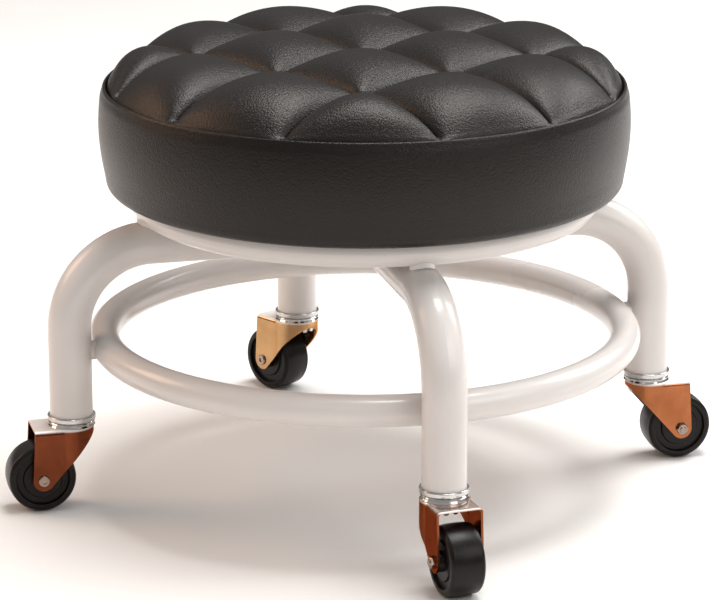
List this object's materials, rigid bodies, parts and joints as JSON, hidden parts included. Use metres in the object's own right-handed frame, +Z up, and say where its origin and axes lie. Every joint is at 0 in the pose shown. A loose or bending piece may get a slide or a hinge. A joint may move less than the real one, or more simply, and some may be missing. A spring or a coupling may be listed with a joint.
{
  "type": "pedicure stool",
  "caption": "Low round rolling stool: tufted round cushion on a bent-tube frame with a foot ring, on swivel casters.",
  "frame": {"origin": "on the floor, under the centre of the seat", "axes": "+Z up; the right leg stands on +X and the back leg on +Y"},
  "size_m": [0.429, 0.4279, 0.2671],
  "materials": {
    "white_paint": "gloss",
    "plywood": "matte",
    "zinc_hardware": "satin",
    "cushion_foam": "matte",
    "black_cover": "satin",
    "dust_cloth": "matte",
    "tie_cord": "matte",
    "black_nylon": "satin",
    "chrome": "polished",
    "plated_fork": "polished",
    "steel_balls": "polished",
    "black_wheel": "gloss"
  },
  "bodies": {
    "stool_frame": {"cross_leg_tube": "white_paint", "front_leg_tube": "white_paint", "back_leg_tube": "white_paint", "top_ring": "white_paint", "foot_ring": "white_paint", "mounting_tabs": "white_paint", "tab_welds": "white_paint", "top_ring_welds": "white_paint", "foot_ring_welds": "white_paint", "seat_board": "plywood", "tee_nuts": "zinc_hardware", "seat_screws": "zinc_hardware", "seat_washers": "zinc_hardware", "foam_pad": "cushion_foam", "top_panel": "black_cover", "side_band": "black_cover", "dust_cover": "dust_cloth", "staples": "zinc_hardware", "tuft_ties": "tie_cord", "stem_sockets": "black_nylon", "king_washers": "zinc_hardware", "right_stem": "zinc_hardware", "right_bearing_cup": "chrome", "back_stem": "zinc_hardware", "back_bearing_cup": "chrome", "left_stem": "zinc_hardware", "left_bearing_cup": "chrome", "front_stem": "zinc_hardware", "front_bearing_cup": "chrome"},
    "right_caster": {"right_race_ring": "chrome", "right_fork": "plated_fork", "right_axle": "chrome", "right_axle_nut": "chrome", "right_axle_sleeve": "zinc_hardware"},
    "right_ball_set": {"right_balls": "steel_balls"},
    "right_tread": {"right_wheel": "black_wheel"},
    "back_caster": {"back_race_ring": "chrome", "back_fork": "plated_fork", "back_axle": "chrome", "back_axle_nut": "chrome", "back_axle_sleeve": "zinc_hardware"},
    "back_ball_set": {"back_balls": "steel_balls"},
    "back_tread": {"back_wheel": "black_wheel"},
    "left_caster": {"left_race_ring": "chrome", "left_fork": "plated_fork", "left_axle": "chrome", "left_axle_nut": "chrome", "left_axle_sleeve": "zinc_hardware"},
    "left_ball_set": {"left_balls": "steel_balls"},
    "left_tread": {"left_wheel": "black_wheel"},
    "front_caster": {"front_race_ring": "chrome", "front_fork": "plated_fork", "front_axle": "chrome", "front_axle_nut": "chrome", "front_axle_sleeve": "zinc_hardware"},
    "front_ball_set": {"front_balls": "steel_balls"},
    "front_tread": {"front_wheel": "black_wheel"}
  },
  "joints": [
    {"name": "right_swivel", "type": "hinge", "parent": "stool_frame", "child": "right_caster", "pos_m": [0.1755, 0, 0.0498], "axis": [0, 0, 1], "continuous": true},
    {"name": "right_ball_turn", "type": "hinge", "parent": "stool_frame", "child": "right_ball_set", "pos_m": [0.1755, 0, 0.05257], "axis": [0, 0, 1], "continuous": true},
    {"name": "right_roll", "type": "hinge", "parent": "right_caster", "child": "right_tread", "pos_m": [0.1945, 0.00017, 0.02], "axis": [-0.0087, 1, 0], "continuous": true},
    {"name": "back_swivel", "type": "hinge", "parent": "stool_frame", "child": "back_caster", "pos_m": [0, 0.1755, 0.0498], "axis": [0, 0, 1], "continuous": true},
    {"name": "back_ball_turn", "type": "hinge", "parent": "stool_frame", "child": "back_ball_set", "pos_m": [0, 0.1755, 0.05257], "axis": [0, 0, 1], "continuous": true},
    {"name": "back_roll", "type": "hinge", "parent": "back_caster", "child": "back_tread", "pos_m": [-0.00921, 0.19212, 0.02], "axis": [-0.8746, -0.4848, 0], "continuous": true},
    {"name": "left_swivel", "type": "hinge", "parent": "stool_frame", "child": "left_caster", "pos_m": [-0.1755, 0, 0.0498], "axis": [0, 0, 1], "continuous": true},
    {"name": "left_ball_turn", "type": "hinge", "parent": "stool_frame", "child": "left_ball_set", "pos_m": [-0.1755, 0, 0.05257], "axis": [0, 0, 1], "continuous": true},
    {"name": "left_roll", "type": "hinge", "parent": "left_caster", "child": "left_tread", "pos_m": [-0.1945, 0, 0.02], "axis": [0, -1, 0], "continuous": true},
    {"name": "front_swivel", "type": "hinge", "parent": "stool_frame", "child": "front_caster", "pos_m": [0, -0.1755, 0.0498], "axis": [0, 0, 1], "continuous": true},
    {"name": "front_ball_turn", "type": "hinge", "parent": "stool_frame", "child": "front_ball_set", "pos_m": [0, -0.1755, 0.05257], "axis": [0, 0, 1], "continuous": true},
    {"name": "front_roll", "type": "hinge", "parent": "front_caster", "child": "front_tread", "pos_m": [0.00199, -0.1944, 0.02], "axis": [0.9945, 0.1045, 0], "continuous": true}
  ],
  "couplings": [
    {"joint": "right_ball_turn", "follows": "right_swivel", "ratio": 0.5},
    {"joint": "back_ball_turn", "follows": "back_swivel", "ratio": 0.5},
    {"joint": "left_ball_turn", "follows": "left_swivel", "ratio": 0.5},
    {"joint": "front_ball_turn", "follows": "front_swivel", "ratio": 0.5}
  ]
}
